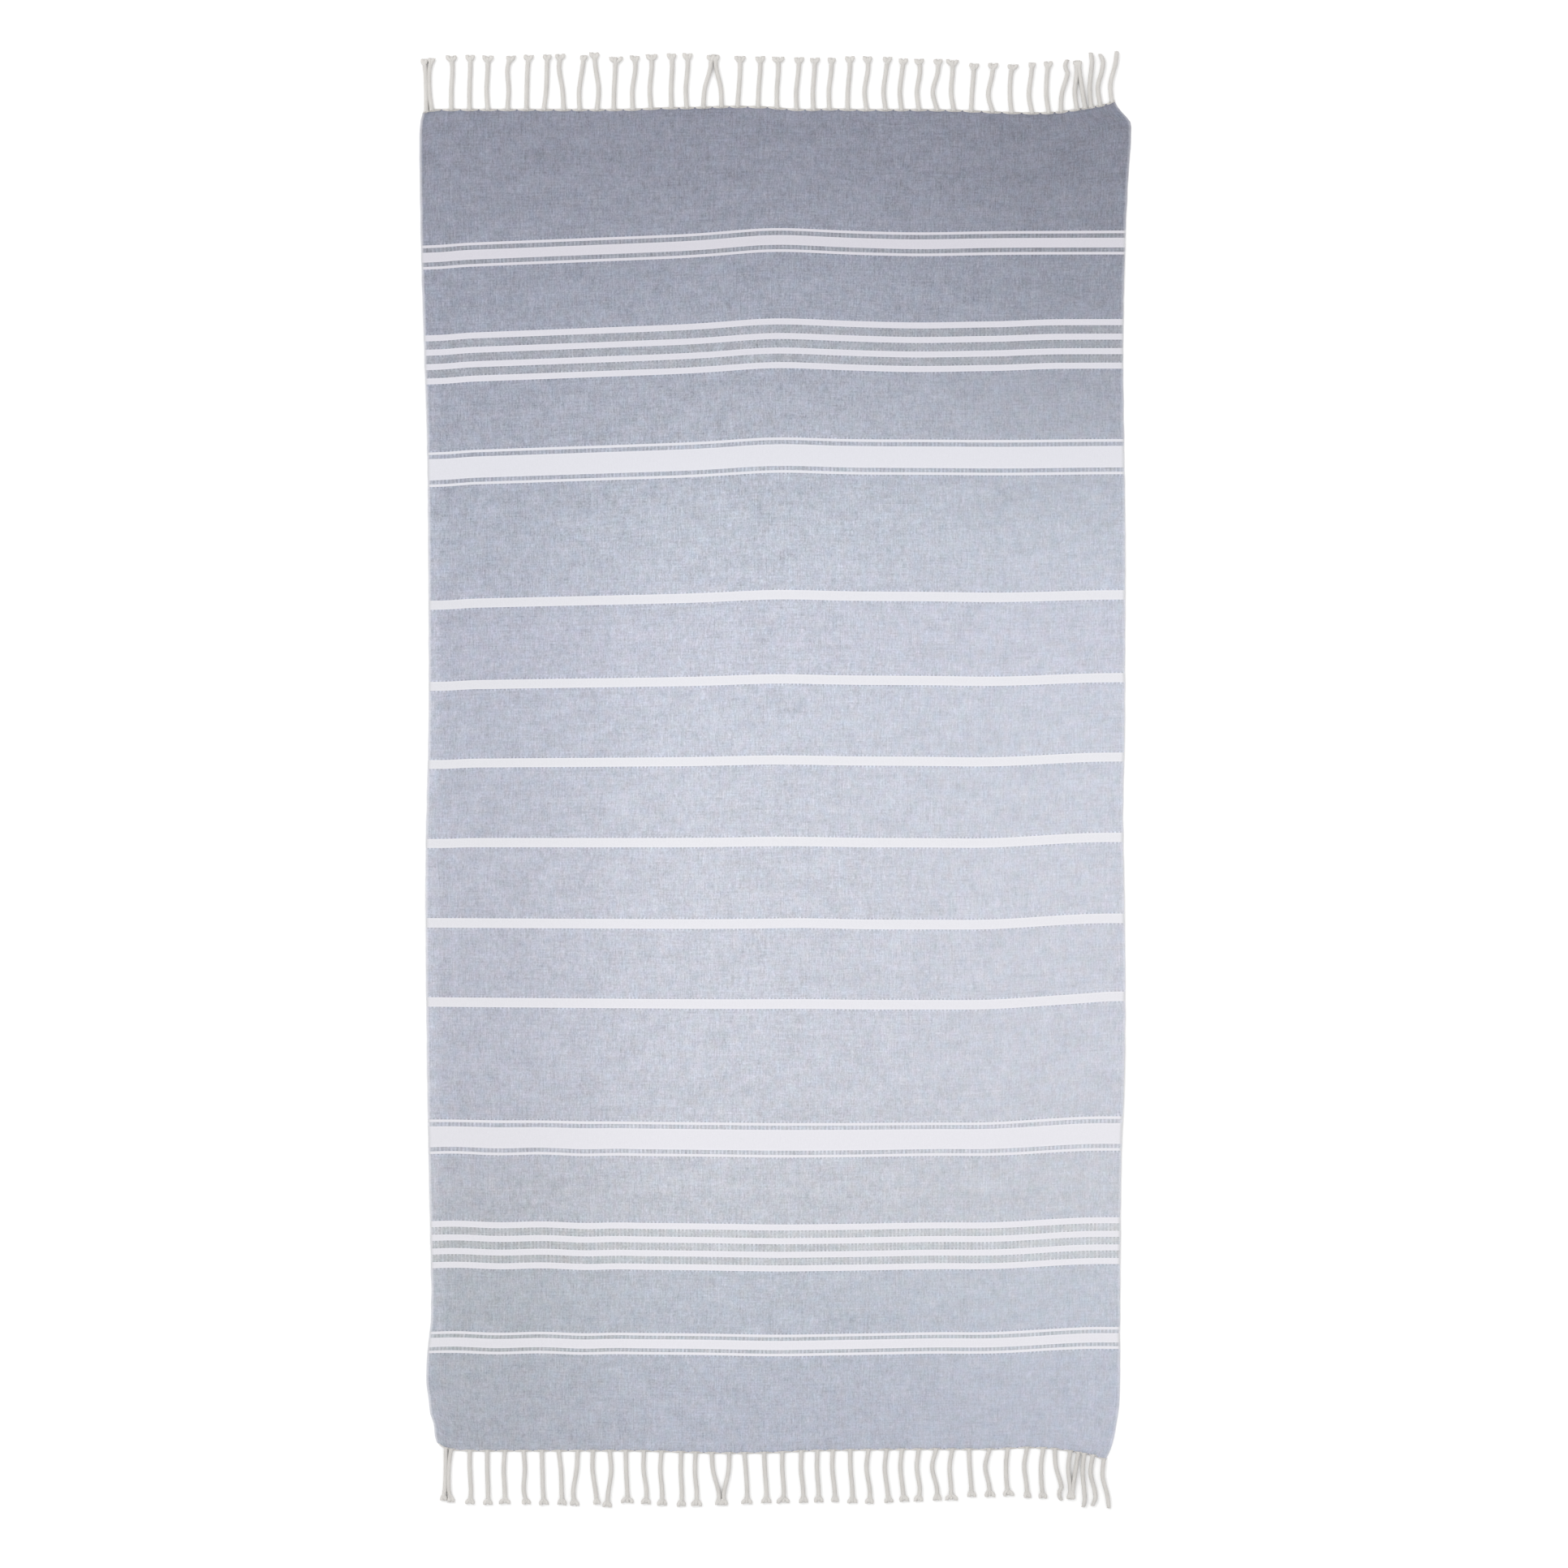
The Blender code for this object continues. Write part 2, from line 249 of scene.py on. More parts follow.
def place(u, v):
    """Where a point of the flat cloth lies on the floor."""
    s = u / HALF_WIDTH
    left = follow(LEFT_EDGE, v / MM)
    right = follow(RIGHT_EDGE, v / MM)
    corners = LEFT_CORNERS if s < 0 else RIGHT_CORNERS
    drawn_in = follow(corners, v / MM) * ease((abs(s) - DRAWN_FROM) / DRAWN_OVER)
    drawn_in /= ease((1 - DRAWN_FROM) / DRAWN_OVER)
    rim = ease((abs(s) - 0.9) / 0.1)
    wobble = 0.6 * noise.noise(Vector((s * 2, v / 0.022, 5.0))) * rim
    x = (left + (right - left) * (s + 1) / 2 + wobble + drawn_in) * MM
    slid = bow(s, v)
    upper = ease((v - SETTLES_ABOVE) / (UPPER_END - SETTLES_ABOVE))
    lower = ease((v - SETTLES_BELOW) / (LOWER_END - SETTLES_BELOW))
    slid += (follow(UPPER_END_LINE, x / MM) * MM - slid) * upper
    slid += (follow(LOWER_END_LINE, x / MM) * MM - slid) * lower
    y = v + slid
    return Vector((x, y, lie(x, y)))


# ---------------------------------------------------------------- woven pieces

# The grid of a run: columns, and the steps between its rows, in metres.
COLUMNS = 144
ROW_STEP = 0.0065
FOLDED_ROW_STEP = 0.0018
EDGE_ROW = 0.0022
SLIVER = 1e-6
# An edge that turns further than this, in radians, is a sharp one.
SHARP_RIM = 0.9
SHARP_YARN_END = 1.1

# Runs under these widths are narrow strips. The whole of a very narrow one counts as this near to an edge.
NARROW_STRIP = 0.012
VERY_NARROW = 0.006
NARROW_FROM_EDGE = 0.0016
FAR_FROM_EDGE = 0.01
# How open the strips are woven, beside the plain lines and beside a wide band.
OPEN_STRIP = 1.0
CLOSER_STRIP = 0.3


def row_places(top, bottom):
    """The rows of a run's grid: closer beside its two edges and where the cloth folds."""
    rows = [top]
    margin = min(EDGE_ROW, (top - bottom) / 2)
    rows.append(top - margin)
    while rows[-1] > bottom + margin + SLIVER:
        at = rows[-1]
        step = ROW_STEP
        if any(low < at - step / 2 < high for low, high in CLOSE_ROWS):
            step = FOLDED_ROW_STEP
        left = at - (bottom + margin)
        rows.append(at - left / math.ceil(left / step - SLIVER))
    rows.append(bottom)
    return rows


def openness(name, width):
    """How open a run is woven: not at all where it is wide. Only the ground's strips show it."""
    if width >= NARROW_STRIP:
        return 0.0
    return CLOSER_STRIP if "band" in name else OPEN_STRIP


def weave_run(name, top, bottom, thickness):
    """One run of weft as a thin closed sheet, laid on the floor."""
    rows = row_places(top, bottom)
    width = top - bottom
    bm = bmesh.new()
    flat_u = bm.verts.layers.float.new("flat_u")
    flat_v = bm.verts.layers.float.new("flat_v")
    from_edge = bm.verts.layers.float.new("from_edge")
    between_lines = bm.verts.layers.float.new("between_lines")
    bmesh.ops.create_grid(bm, x_segments=COLUMNS, y_segments=len(rows) - 1, size=0.5)
    for vert in bm.verts:
        v = rows[round((0.5 - vert.co.y) * (len(rows) - 1))]
        u = vert.co.x * 2 * HALF_WIDTH
        vert[flat_u] = u
        vert[flat_v] = v
        nearest_edge = min(top - v, v - bottom, FAR_FROM_EDGE)
        vert[from_edge] = NARROW_FROM_EDGE if width < VERY_NARROW else nearest_edge
        vert[between_lines] = openness(name, width)
        vert.co = place(u, v)
    raised = bmesh.ops.extrude_face_region(bm, geom=bm.faces[:])["geom"]
    upper_side = [g for g in raised if isinstance(g, bmesh.types.BMVert)]
    bmesh.ops.translate(bm, verts=upper_side, vec=(0, 0, thickness))
    bmesh.ops.recalc_face_normals(bm, faces=bm.faces)
    weave = bm.loops.layers.uv.new("weave")
    for face in bm.faces:
        face.smooth = True
        for loop in face.loops:
            loop[weave].uv = (loop.vert[flat_u], loop.vert[flat_v])
    for edge in bm.edges:
        edge.smooth = edge.calc_face_angle(0.0) < SHARP_RIM
    return finished(bm, name)


def finished(bm, name):
    """The bmesh as a named object at the origin."""
    mesh = bpy.data.meshes.new(name)
    bm.to_mesh(mesh)
    bm.free()
    piece = bpy.data.objects.new(name, mesh)
    bpy.context.scene.collection.objects.link(piece)
    return piece


def hold(piece):
    """Rides on the body it lies on; a piece that crosses a fold only has its placement baked into its mesh.
    """
    ys = [vert.co.y for vert in piece.data.vertices]
    for y, below, above, half in FOLDS:
        if min(ys) < y + half and max(ys) > y - half:
            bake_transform(piece)
            return
    middle = (min(ys) + max(ys)) / 2
    body = "lower_end"
    for y, _, above, _ in reversed(FOLDS):
        if middle > y:
            body = above
    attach(piece, body)


# ---------------------------------------------------------------- node helpers


def put(tree, kind, inputs=None, **settings):
    """Adds a node; each input is a number, a colour or another node's output."""
    made = tree.nodes.new(kind)
    for key, value in settings.items():
        setattr(made, key, value)
    for key, value in (inputs or {}).items():
        if isinstance(value, bpy.types.NodeSocket):
            tree.links.new(value, made.inputs[key])
        else:
            made.inputs[key].default_value = value
    return made


def sums(tree, operation, a, b=0.0):
    """One step of arithmetic on numbers or other nodes' outputs."""
    return put(tree, "ShaderNodeMath", {0: a, 1: b}, operation=operation).outputs[0]


def between(tree, value, low, high, to_low=0.0, to_high=1.0):
    """Smooth step of value from low to high."""
    inputs = {"Value": value, "From Min": low, "From Max": high, "To Min": to_low, "To Max": to_high}
    return put(tree, "ShaderNodeMapRange", inputs, interpolation_type="SMOOTHSTEP").outputs["Result"]


def grain(tree, coords, across, along, seed, detail=2.0):
    """Noise from 0 to 1 whose spots are about across by along metres."""
    scaled = put(tree, "ShaderNodeMapping", {"Vector": coords, "Location": (seed, seed * 1.7, 0)})
    scaled.inputs["Scale"].default_value = (1 / across, 1 / along, 1)
    inputs = {"Vector": scaled.outputs[0], "Scale": 1.0, "Detail": detail, "Roughness": 0.6}
    return put(tree, "ShaderNodeTexNoise", inputs, noise_dimensions="2D").outputs[0]


def linear(*levels):
    """Screen levels, 0 to 255, as the linear colour of the yarn under the studio's light."""
    return tuple((((c / 255 + 0.055) / 1.055) ** 2.4) / LIGHT_LEVEL for c in levels) + (1.0,)


def shade_along(tree, v, stops):
    """A colour that changes down the length, from (v, screen levels) stops."""
    span = UPPER_END - LOWER_END
    inputs = {"Value": v, "From Min": LOWER_END, "From Max": UPPER_END, "To Min": 0.0, "To Max": 1.0}
    down_length = put(tree, "ShaderNodeMapRange", inputs).outputs["Result"]
    ramp = put(tree, "ShaderNodeValToRGB", {"Fac": down_length})
    elements = ramp.color_ramp.elements
    for i, (at, levels) in enumerate(stops):
        element = elements[i] if i < 2 else elements.new(1.0)
        element.position = (at - LOWER_END) / span
        element.color = linear(*levels)
    return ramp.outputs[0]


def scaled_colour(tree, colour, factor):
    return put(tree, "ShaderNodeVectorMath", {0: colour, "Scale": factor}, operation="SCALE").outputs[0]


def times_colour(tree, colour, red, green, blue):
    """The colour with each of its three parts scaled on its own."""
    by = put(tree, "ShaderNodeCombineXYZ", {0: red, 1: green, 2: blue}).outputs[0]
    return put(tree, "ShaderNodeVectorMath", {0: colour, 1: by}, operation="MULTIPLY").outputs[0]


def mixed_in(tree, share, colour, other):
    """The colour with a share of the other one in it."""
    inputs = {"Factor": share, 6: colour, 7: other}
    return put(tree, "ShaderNodeMix", inputs, data_type="RGBA").outputs[2]


# ---------------------------------------------------------------- materials

# How bright a white surface comes out under the studio's light.
LIGHT_LEVEL = 1.237
# The spacing of the threads, how far they wander, in radians of their wave, and how finely.
THREAD = 0.00065
THREAD_WANDER = 2.4
WANDER_SCALE = 260.0
# The ground's unevenness: size across and along the cloth in metres, seed and strength.
# The first layers can also be felt.
FELT_LAYERS = 2
GROUND_GRAIN = [
    (0.0023, 0.0024, 11.0, 0.58), (0.0014, 0.011, 23.0, 0.50), (0.0022, 0.045, 29.0, 0.28),
    (0.013, 0.0015, 31.0, 0.28), (0.060, 0.0024, 37.0, 0.24), (0.0050, 0.0060, 41.0, 0.26),
    (0.013, 0.016, 47.0, 0.25), (0.045, 0.030, 53.0, 0.23),
]
# The two yarns' shades down the length: (v, screen levels).
GROUND_SHADES = [
    (-0.86, (184, 188, 201)), (-0.82, (185, 189, 202)), (-0.69, (190, 195, 206)),
    (-0.54, (201, 204, 213)), (-0.375, (204, 207, 218)), (-0.135, (206, 209, 220)),
    (0.077, (203, 207, 219)), (0.185, (201, 204, 217)), (0.32, (194, 199, 211)), (0.49, (176, 180, 193)),
    (0.645, (161, 165, 179)), (0.80, (147, 150, 164)), (0.87, (144, 147, 161)),
]
STRIPE_SHADES = [
    (-0.80, (235, 234, 239)), (-0.74, (235, 234, 240)), (-0.47, (236, 235, 241)), (0.0, (237, 237, 242)),
    (0.30, (233, 233, 239)), (0.42, (229, 229, 236)), (0.57, (222, 221, 229)), (0.70, (217, 215, 223)),
]
# The fine threads of a fringe yarn: how many lie round it, and how often they twist along it.
THREADS_AROUND = 5
TWISTS_ALONG = 22
# The selvedge: where it starts and is full, and the dotted line beside it, from the long edge, in metres.
SELVEDGE_START = 0.0046
SELVEDGE_FULL = 0.0002
DOTTED_LINE = 0.0042
DOTTED_LINE_HALF = 0.0005
DOTTED_LINE_PITCH = 0.0027


def weave_coords(tree):
    coords = put(tree, "ShaderNodeUVMap", uv_map="weave").outputs[0]
    split = put(tree, "ShaderNodeSeparateXYZ", {0: coords})
    return coords, split.outputs[0], split.outputs[1]


def threads(tree, coords, u, v):
    """Height of the plain weave, from 0 to 1, its threads a little uneven as hand-loomed cotton is."""
    inputs = {"Vector": coords, "Scale": WANDER_SCALE, "Detail": 1.0}
    wander = put(tree, "ShaderNodeTexNoise", inputs, noise_dimensions="2D")
    shift = sums(tree, "MULTIPLY", wander.outputs[0], THREAD_WANDER)
    warp = sums(tree, "ADD", sums(tree, "MULTIPLY", u, math.pi / THREAD), shift)
    weft = sums(tree, "ADD", sums(tree, "MULTIPLY", v, math.pi / THREAD), shift)
    crossing = sums(tree, "MULTIPLY", sums(tree, "SINE", warp), sums(tree, "SINE", weft))
    return sums(tree, "ADD", sums(tree, "MULTIPLY", crossing, 0.5), 0.5)


def cloth_shader(tree, colour, height, depth, roughness):
    shader = put(tree, "ShaderNodeBsdfPrincipled", {"Base Color": colour, "Roughness": roughness})
    shader.inputs["Specular IOR Level"].default_value = 0.2
    shader.inputs["Sheen Weight"].default_value = 0.08
    shader.inputs["Sheen Roughness"].default_value = 0.5
    bump = put(tree, "ShaderNodeBump", {"Height": height, "Strength": 1.0, "Distance": depth})
    tree.links.new(bump.outputs[0], shader.inputs["Normal"])
    put(tree, "ShaderNodeOutputMaterial", {"Surface": shader.outputs[0]})


def blank(name):
    material = bpy.data.materials.new(name)
    material.use_nodes = True
    material.node_tree.nodes.clear()
    return material, material.node_tree


def selvedge_mask(tree, u):
    """Distance from the middle, and a mask up to 1 on the last millimetres beside the long edges."""
    off_middle = sums(tree, "ABSOLUTE", u)
    mask = between(tree, off_middle, HALF_WIDTH - SELVEDGE_START, HALF_WIDTH - SELVEDGE_FULL)
    return off_middle, mask


def unevenness(tree, coords, layers):
    """Lighter and darker spots, streaks and clouds about 0, and how far the first of them stand up."""
    total = 0.0
    felt = 0.0
    for i, (across, along, seed, strength) in enumerate(layers):
        spots = sums(tree, "SUBTRACT", grain(tree, coords, across, along, seed), 0.5)
        total = sums(tree, "ADD", total, sums(tree, "MULTIPLY", spots, strength))
        if i < FELT_LAYERS:
            felt = sums(tree, "ADD", felt, spots)
    return total, felt


def tinted(tree, coords, colour, red, blue):
    """The dye's faint drift in hue from place to place."""
    warm = sums(tree, "SUBTRACT", grain(tree, coords, 0.012, 0.015, 61.0, 1.0), 0.5)
    cool = sums(tree, "SUBTRACT", grain(tree, coords, 0.016, 0.012, 71.0, 1.0), 0.5)
    red_part = sums(tree, "ADD", sums(tree, "MULTIPLY", warm, red), 1.0)
    blue_part = sums(tree, "ADD", sums(tree, "MULTIPLY", cool, blue), 1.0)
    return times_colour(tree, colour, red_part, 1.0, blue_part)


def ground_cloth():
    """Blue-grey weft over an off-white warp, speckled, deeper towards the upper end."""
    material, tree = blank("blue_grey_weft_cotton")
    coords, u, v = weave_coords(tree)
    level, bluer = drift_to_sides(tree, u, v)
    colour = shade_along(tree, v, GROUND_SHADES)
    colour = times_colour(tree, colour, 1.0, 1.0, bluer)
    colour = sheer_strips(tree, colour)
    mottle, felt = unevenness(tree, coords, GROUND_GRAIN)
    mottle = sums(tree, "MULTIPLY", mottle, liveliness(tree, u, v))
    weave = threads(tree, coords, u, v)
    crossing = sums(tree, "MULTIPLY", sums(tree, "SUBTRACT", weave, 0.5), 0.11)
    factor = sums(tree, "ADD", sums(tree, "ADD", 1.0, mottle), crossing)
    factor = sums(tree, "MULTIPLY", factor, level)
    factor = sums(tree, "MULTIPLY", factor, edge_dots(tree, coords, u))
    colour = tinted(tree, coords, scaled_colour(tree, colour, factor), red=0.12, blue=0.09)
    colour = ground_selvedge(tree, colour, u, v)
    height = sums(tree, "ADD", weave, sums(tree, "MULTIPLY", felt, 1.2))
    cloth_shader(tree, colour, height, depth=0.00012, roughness=0.9)
    return material


def drift_to_sides(tree, u, v):
    """The ground's level, which drops towards the left edge and the upper right, and the left side's blue."""
    left_depth = between(tree, v, 0.25, 0.85, 0.187, 0.0)
    left_depth = sums(tree, "SUBTRACT", left_depth, between(tree, v, -0.85, -0.45, 0.07, 0.0))
    left = sums(tree, "MULTIPLY", left_depth, between(tree, u, -0.42, -0.08, 1.0, 0.0))
    left = sums(tree, "MULTIPLY", left, between(tree, u, -0.458, -0.436, 0.5, 1.0))
    right_depth = between(tree, v, 0.22, 0.70, -0.015, 0.13)
    right_depth = sums(tree, "SUBTRACT", right_depth, between(tree, v, -0.72, -0.50, 0.06, 0.0))
    right = sums(tree, "MULTIPLY", right_depth, between(tree, u, 0.06, 0.42))
    level = sums(tree, "SUBTRACT", sums(tree, "SUBTRACT", 1.0, left), right)
    drift = sums(tree, "MULTIPLY", left, between(tree, v, -0.78, -0.45, -0.22, 0.16))
    return level, sums(tree, "ADD", 1.0, drift)


def liveliness(tree, u, v):
    """How strong the unevenness is: calmer on the lower half, and on the right below the upper end."""
    lively = between(tree, v, 0.0, 0.45, 0.80, 1.0)
    even = sums(tree, "MULTIPLY", between(tree, v, 0.5, 0.7, 0.25, 0.0), between(tree, u, 0.0, 0.35))
    return sums(tree, "MULTIPLY", lively, sums(tree, "SUBTRACT", 1.0, even))


def ground_selvedge(tree, colour, u, v):
    """The off-white warp packed along the long edges, and the dotted line that its last threads leave."""
    off_middle, selvedge = selvedge_mask(tree, u)
    share = sums(tree, "MULTIPLY", selvedge, between(tree, u, -0.1, 0.1, 0.62, 0.28))
    pale = mixed_in(tree, share, colour, linear(236, 235, 239))
    dots = sums(tree, "SINE", sums(tree, "MULTIPLY", v, 2 * math.pi / DOTTED_LINE_PITCH))
    line = sums(tree, "COMPARE", off_middle, HALF_WIDTH - DOTTED_LINE)
    line.node.inputs[2].default_value = DOTTED_LINE_HALF
    dark = sums(tree, "MULTIPLY", line, between(tree, dots, -0.2, 0.8, 0.0, 0.10))
    return scaled_colour(tree, pale, sums(tree, "SUBTRACT", 1.0, dark))


def sheer_strips(tree, colour):
    """The strips between two white lines are woven opener, so the off-white warp shows more."""
    strip = put(tree, "ShaderNodeAttribute", attribute_name="between_lines").outputs["Fac"]
    red = sums(tree, "ADD", 1.0, sums(tree, "MULTIPLY", strip, 0.065))
    green = sums(tree, "ADD", 1.0, sums(tree, "MULTIPLY", strip, 0.055))
    return times_colour(tree, colour, red, green, 1.005)


def edge_dots(tree, coords, u):
    """Darker spots where the weft turns over beside a white stripe, a thread group apart."""
    away = put(tree, "ShaderNodeAttribute", attribute_name="from_edge").outputs["Fac"]
    near = between(tree, away, 0.0008, 0.0030, 1.0, 0.0)
    wave = sums(tree, "COSINE", sums(tree, "MULTIPLY", u, 2 * math.pi / DOT_PITCH))
    spot = between(tree, wave, -0.6, 0.6, -0.7, 0.7)
    strength = sums(tree, "MULTIPLY", grain(tree, coords, 0.011, 0.004, 83.0, 1.0), 0.38)
    dark = sums(tree, "MULTIPLY", sums(tree, "MULTIPLY", spot, near), strength)
    return sums(tree, "SUBTRACT", 1.0, dark)


def stripe_cloth():
    """White weft packed over the warp, smoother than the ground, with a painted highlight along its edges."""
    material, tree = blank("white_weft_cotton")
    coords, u, v = weave_coords(tree)
    colour = shade_along(tree, v, STRIPE_SHADES)
    speckle = grain(tree, coords, 0.0020, 0.0016, 5.0)
    streak = grain(tree, coords, 0.0016, 0.007, 17.0)
    mottle = sums(tree, "MULTIPLY", sums(tree, "SUBTRACT", speckle, 0.5), 0.07)
    mottle = sums(tree, "ADD", mottle, sums(tree, "MULTIPLY", sums(tree, "SUBTRACT", streak, 0.5), 0.06))
    weave = threads(tree, coords, u, v)
    crossing = sums(tree, "MULTIPLY", sums(tree, "SUBTRACT", weave, 0.5), 0.04)
    away = put(tree, "ShaderNodeAttribute", attribute_name="from_edge").outputs["Fac"]
    # Painted highlight: the white is up to 3.5 % brighter within three millimetres of a stripe's edges, as on
    # a raised rim catching the light.
    rim = between(tree, away, 0.0006, 0.0030, 0.035, 0.0)
    left_shade = between(tree, v, 0.30, 0.50, 0.068, 0.0)
    left_shade = sums(tree, "MULTIPLY", left_shade, between(tree, u, -0.42, -0.10, 1.0, 0.0))
    level = sums(tree, "SUBTRACT", 1.0, left_shade)
    factor = sums(tree, "ADD", sums(tree, "ADD", sums(tree, "ADD", level, mottle), crossing), rim)
    _, selvedge = selvedge_mask(tree, u)
    share = sums(tree, "MULTIPLY", selvedge, 0.6)
    colour = mixed_in(tree, share, scaled_colour(tree, colour, factor), linear(206, 207, 209))
    height = sums(tree, "ADD", weave, sums(tree, "MULTIPLY", speckle, 0.6))
    cloth_shader(tree, colour, height, depth=0.00010, roughness=0.88)
    return material


def twisted_cotton():
    """Natural off-white cotton yarn; the fine lines are the twist of its own threads."""
    material, tree = blank("off_white_fringe_cotton")
    coords = put(tree, "ShaderNodeUVMap", uv_map="UVMap").outputs[0]
    split = put(tree, "ShaderNodeSeparateXYZ", {0: coords})
    around = sums(tree, "MULTIPLY", split.outputs[0], 2 * math.pi * THREADS_AROUND)
    along = sums(tree, "MULTIPLY", split.outputs[1], 2 * math.pi * TWISTS_ALONG)
    twist = sums(tree, "SINE", sums(tree, "ADD", around, along))
    where = put(tree, "ShaderNodeAttribute", attribute_name="rest_place").outputs["Vector"]
    fluff = put(tree, "ShaderNodeTexNoise", {"Vector": where, "Scale": 900.0, "Detail": 2.0}).outputs[0]
    cloud = put(tree, "ShaderNodeTexNoise", {"Vector": where, "Scale": 55.0, "Detail": 1.0}).outputs[0]
    factor = sums(tree, "ADD", 1.0, sums(tree, "MULTIPLY", twist, 0.035))
    factor = sums(tree, "ADD", factor, sums(tree, "MULTIPLY", sums(tree, "SUBTRACT", fluff, 0.5), 0.16))
    factor = sums(tree, "ADD", factor, sums(tree, "MULTIPLY", sums(tree, "SUBTRACT", cloud, 0.5), 0.14))
    colour = scaled_colour(tree, linear(232, 229, 225)[:3], factor)
    height = sums(tree, "ADD", sums(tree, "MULTIPLY", twist, 0.5), fluff)
    cloth_shader(tree, colour, height, depth=0.00018, roughness=0.92)
    return material


def weft_and_gap_shade_cotton():
    """The deep blue-grey weft seen end on, where the last picks turn between two tassels; made darker still
    as painted shade of the gap between their gathers.
    """
    material, tree = blank("deep_blue_grey_weft_and_painted_gap_shade")
    where = put(tree, "ShaderNodeAttribute", attribute_name="rest_place").outputs["Vector"]
    fluff = put(tree, "ShaderNodeTexNoise", {"Vector": where, "Scale": 1200.0, "Detail": 2.0}).outputs[0]
    factor = sums(tree, "ADD", 0.8, sums(tree, "MULTIPLY", fluff, 0.4))
    # Painted shade: darker than the ground's own weft, standing in for the shade in the gap between two
    # gathers.
    colour = scaled_colour(tree, linear(138, 138, 149)[:3], factor)
    cloth_shader(tree, colour, fluff, depth=0.00015, roughness=0.95)
    return material


# ---------------------------------------------------------------- fringe

# A tassel's place across the cloth, how far it strays at 35 %, 75 % and all of its reach, its reach beyond
# the nominal end and the width of its tip, in millimetres.
TASSELS = [
    (-452, 0, -1, -3, 66, 9), (-445, -3, -3, 0.5, 68, 10), (-419, 0, 1.5, 0, 71, 14),
    (-395, 0, 1, 1, 72, 12), (-371, -1.5, 0, 0, 71, 14), (-345, 1.5, 0, 4.5, 71, 12),
    (-320, 0.5, 1.5, 3, 72, 13), (-297, 3, 4, 4.5, 72, 11.5), (-271, -1.5, -6, -4, 73, 13),
    (-250, -0.5, 3.5, 5.5, 71, 9), (-227, 2, -2, -3.5, 75, 13), (-205, 0.5, 2, 2.5, 70, 18),
    (-180, -0.5, 3.5, 2.5, 71, 12.5), (-156, -1.5, 1, 1, 73, 14), (-129, -0.5, 1, 0.5, 74, 12),
    (-109, -1, 1.5, 1, 74, 14), (-87, 2, 9.5, 10.5, 72, 11), (-63, -1, -7, -8, 72, 11),
    (-42, 2, 3.5, 3, 71, 15), (-15, 1, 3, 3, 70, 13), (10, 0, 2, 1, 70, 16), (36, -0.5, 2.5, 3, 69, 12),
    (58, -0.5, 1.5, 2, 68, 12), (79, -0.5, 2.5, 3.5, 68, 10.5), (103, 0.5, 3, 3, 70, 13),
    (128, -2.5, 2, 1.5, 70, 12), (153, -2.5, 1, 3, 69, 12), (174, -2, 1, 3, 67, 12),
    (197, -2.5, 1.5, 0, 67, 12), (221, -5.5, 1, 1.5, 66, 11), (243, -3.5, -1.5, -1.5, 66, 16.5),
    (266, 1, 3, 4, 61, 12.5), (294, -5.5, -0.5, 1, 61, 13), (319, -2, -1, 2, 60, 14),
    (346, -4, -1, 0.5, 62, 9.5), (368, -3, -2, 0, 63, 11.5), (384, 1.5, 9, 8.5, 65, 7.5),
    (405, -2.5, 0, 0, 64, 9), (416, -3.5, -7, -9, 64, 9), (424, -2, 0.5, -0.5, 74, 6.5),
    (436, -3, 3, -0.5, 73, 7), (451, -1.5, 5, 7, 76, 6.5),
]
COMBS = 7
TASSELS_PER_COMB = 6
# A tip at least this wide is frayed open; a narrower one stays twisted.
FRAYED_FROM = 8
# The lower end's tassels lie this much closer together than the upper end's, and are as much shorter.
LOWER_SHARE = 0.96
# How far each end's row of tassels is shifted across, in millimetres.
UPPER_SHIFT = -6.6
LOWER_SHIFT = 1.0
# The tassels that curl near their tip, by their place, and how far.
CURLED_TIPS = {384: -3.2, 436: 1.6, 424: 0.8}
# The plies of a tassel, in millimetres: they turn round each other, their paths pressed a little flat.
PLIES = 3
PLY_RADIUS = 2.0
LOWER_PLY_SHARE = 0.94
PLY_OFFSET = 1.05
PLY_PITCH = 10.0
PLY_HEIGHT = 2.9
PLY_PRESSED = 0.75
PLY_KNOTS = 62
PLY_TUCKED_IN = 0.9
# The frayed tip: how far from the end the plies start to part, over what length, and how full they get.
PARTS_BEFORE_END = 9.5
PARTS_OVER = 8.5
FRAYED_FULLER = 1.4
# Nothing of the fringe comes nearer to the floor than this.
LEAST_GAP = 0.05

# The cut yarn ends in a tip: how far inside the ply they start, their radii, and how low they may come.
CUT_END_INSIDE = 1.9
CUT_END_RADII = [0.55, 0.5, 0.34]
CUT_END_LOWEST = 0.45

# The gathered warp: the yarns along the last pick, how deep their scallop is at the upper and the lower end,
# where along it each has its points, and their radii there and at their two ends.
SCALLOP_YARNS = 7
UPPER_SCALLOP = 2.4
LOWER_SCALLOP = 1.0
SCALLOP_PLACES = (-1.0, -0.9, -0.72, -0.45, -0.15, 0.15, 0.45, 0.72, 0.9, 1.0)
WARP_RADIUS = 0.46
WARP_END_RADIUS = 0.3
WARP_ABOVE_CLOTH = 0.22
# The yarns that rise from the last pick into the tassel, and how far apart they start.
DRAWN_UP_YARNS = 6
DRAWN_UP_SPACING = 0.95
DRAWN_UP_RADII = [0.35, 0.5, 0.55, 0.4]


def end_edge(x, upper):
    """Where the cloth's cut end is, at x, in millimetres: its y."""
    if upper:
        return UPPER_END / MM + follow(UPPER_END_LINE, x)
    return LOWER_END / MM + follow(LOWER_END_LINE, x)


def stray(row, t):
    """Sideways drift of a tassel at share t of its length."""
    curl = CURLED_TIPS.get(row[0], 0.0) * math.sin(math.pi * clamp((t - 0.76) / 0.24))
    return follow([(0.0, 0.0), (0.35, row[1]), (0.75, row[2]), (1.0, row[3])], t) + curl


